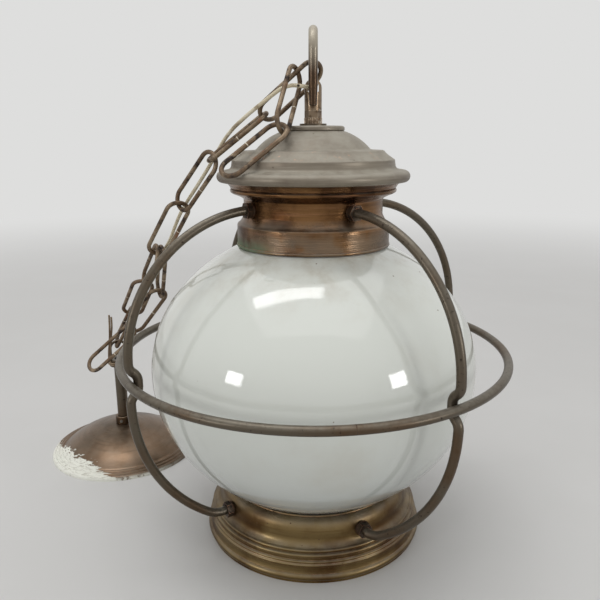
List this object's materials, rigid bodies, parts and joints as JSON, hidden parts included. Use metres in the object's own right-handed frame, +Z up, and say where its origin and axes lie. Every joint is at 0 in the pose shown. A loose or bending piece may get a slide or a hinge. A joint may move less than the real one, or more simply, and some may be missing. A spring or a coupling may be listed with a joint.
{
  "type": "caged globe pendant light",
  "caption": "Caged pendant light: opal glass globe in an antiqued brass base and neck with a domed cap, four bowed rods, a ring, a swivel hook, chain, cable and ceiling rose.",
  "frame": {"origin": "centre of the base ring's foot, on the table", "axes": "+Z up along the globe axis, -Y to the front as in the picture, +X to the viewer's right"},
  "size_m": [0.4159, 0.3418, 0.385],
  "materials": {
    "opal_glass": "glossy",
    "felt": "matt",
    "antique_brass": "satin, antiqued",
    "antique_copper": "satin, antiqued",
    "brass": "satin",
    "porcelain": "glossy",
    "cable_plastic": "satin",
    "rusty_steel": "rusty",
    "zinc_steel": "satin",
    "dark_bronze": "satin, antiqued"
  },
  "bodies": {
    "lamp": {"base_ring": "antique_brass", "base_shelf": "antique_brass", "globe_lower": "opal_glass", "globe_middle": "opal_glass", "globe_upper": "opal_glass", "lower_felt": "felt", "upper_felt": "felt", "neck_collar": "antique_brass", "neck_flange": "antique_brass", "cap": "antique_copper", "cap_disc": "antique_copper", "disc_washer": "dark_bronze", "check_ring": "dark_bronze", "hex_nut": "brass", "hook_loop": "dark_bronze", "nipple": "zinc_steel", "bridge_bar": "zinc_steel", "bridge_washer": "zinc_steel", "bridge_nut": "zinc_steel", "holder_cap": "brass", "holder_body": "brass", "holder_core": "porcelain", "lamp_insert": "brass", "centre_contact": "brass", "shade_ring": "brass", "terminal_screws": "brass", "inner_lead": "cable_plastic", "cage_ring": "dark_bronze", "right_front_rod": "dark_bronze", "left_front_rod": "dark_bronze", "right_back_rod": "dark_bronze", "left_back_rod": "dark_bronze", "neck_washers": "dark_bronze", "neck_nuts": "dark_bronze", "neck_inner_nuts": "dark_bronze", "base_washers": "dark_bronze", "base_nuts": "dark_bronze", "base_inner_nuts": "dark_bronze", "cable": "cable_plastic", "stem_tube": "dark_bronze", "stem_loop": "dark_bronze", "stem_nut": "zinc_steel", "ceiling_strap": "zinc_steel", "tie_wire": "rusty_steel"},
    "hook": {"swivel_hook": "dark_bronze"},
    "canopy": {"rose": "antique_copper"},
    "canopy_collar": {"rose_collar": "antique_copper", "grub_screw": "zinc_steel"},
    "chain_link_1": {"chain_link_1": "rusty_steel"},
    "chain_link_2": {"chain_link_2": "rusty_steel"},
    "chain_link_3": {"chain_link_3": "rusty_steel"},
    "chain_link_4": {"chain_link_4": "rusty_steel"},
    "chain_link_5": {"chain_link_5": "rusty_steel"},
    "chain_link_6": {"chain_link_6": "rusty_steel"},
    "chain_link_7": {"chain_link_7": "rusty_steel"},
    "hook_end_link_1": {"hook_end_link_1": "rusty_steel"},
    "hook_end_link_2": {"hook_end_link_2": "rusty_steel"},
    "loose_link_1": {"loose_link_1": "rusty_steel"},
    "loose_link_2": {"loose_link_2": "rusty_steel"},
    "loose_link_3": {"loose_link_3": "rusty_steel"}
  },
  "joints": [
    {"name": "hook_swivel", "type": "hinge", "parent": "lamp", "child": "hook", "pos_m": [0, 0, 0.3474], "axis": [0, 0, 1], "range_deg": [0, 40]},
    {"name": "canopy_slide", "type": "slide", "parent": "lamp", "child": "canopy", "axis": [0, 0, 1], "range_m": [0, 0.04]},
    {"name": "collar_slide", "type": "slide", "parent": "canopy", "child": "canopy_collar", "axis": [0, 0, 1], "range_m": [0, 0.01]},
    {"name": "chain_link_1_twist", "type": "hinge", "parent": "lamp", "child": "chain_link_1", "pos_m": [-0.01643, 0.00314, 0.34157], "axis": [0.7594, -0.0398, 0.6494], "range_deg": [-1, 3]},
    {"name": "chain_link_2_twist", "type": "hinge", "parent": "lamp", "child": "chain_link_2", "pos_m": [-0.05541, 0.00292, 0.30981], "axis": [0.7892, 0.0483, 0.6122], "range_deg": [-7, 3]},
    {"name": "chain_link_3_twist", "type": "hinge", "parent": "lamp", "child": "chain_link_3", "pos_m": [-0.08868, 0.01056, 0.27723], "axis": [0.5805, -0.3628, 0.729], "range_deg": [-3, 2]},
    {"name": "chain_link_4_twist", "type": "hinge", "parent": "lamp", "child": "chain_link_4", "pos_m": [-0.11602, 0.02854, 0.23891], "axis": [0.5033, -0.3498, 0.7902], "range_deg": [-6, 11]},
    {"name": "chain_link_5_twist", "type": "hinge", "parent": "lamp", "child": "chain_link_5", "pos_m": [-0.13914, 0.05287, 0.20249], "axis": [0.4188, -0.6209, 0.6626], "range_deg": [0, 8]},
    {"name": "chain_link_6_twist", "type": "hinge", "parent": "lamp", "child": "chain_link_6", "pos_m": [-0.16053, 0.0829, 0.16809], "axis": [0.4292, -0.5696, 0.7009], "range_deg": [-15, 15]},
    {"name": "chain_link_7_twist", "type": "hinge", "parent": "lamp", "child": "chain_link_7", "pos_m": [-0.18341, 0.10932, 0.13181], "axis": [0.4777, -0.4777, 0.7373], "range_deg": [-7, 15]},
    {"name": "hook_end_link_1_twist", "type": "hinge", "parent": "lamp", "child": "hook_end_link_1", "pos_m": [-0.01682, -0.01518, 0.3349], "axis": [0.1933, 0.613, 0.766], "range_deg": [-10, 3]},
    {"name": "hook_end_link_2_twist", "type": "hinge", "parent": "lamp", "child": "hook_end_link_2", "pos_m": [-0.03943, -0.03986, 0.30151], "axis": [0.7188, 0.3822, 0.5807], "range_deg": [-15, 0]},
    {"name": "loose_link_1_twist", "type": "hinge", "parent": "lamp", "child": "loose_link_1", "pos_m": [-0.12984, 0.05218, 0.19845], "axis": [0.2241, -0.528, 0.8192], "range_deg": [-6, 1]},
    {"name": "loose_link_2_twist", "type": "hinge", "parent": "lamp", "child": "loose_link_2", "pos_m": [-0.15057, 0.0709, 0.15876], "axis": [0.604, -0.2198, 0.766], "range_deg": [-14, 10]},
    {"name": "loose_link_3_twist", "type": "hinge", "parent": "lamp", "child": "loose_link_3", "pos_m": [-0.18427, 0.0716, 0.12349], "axis": [0.7416, 0.1918, 0.6428], "range_deg": [-12, 15]}
  ]
}
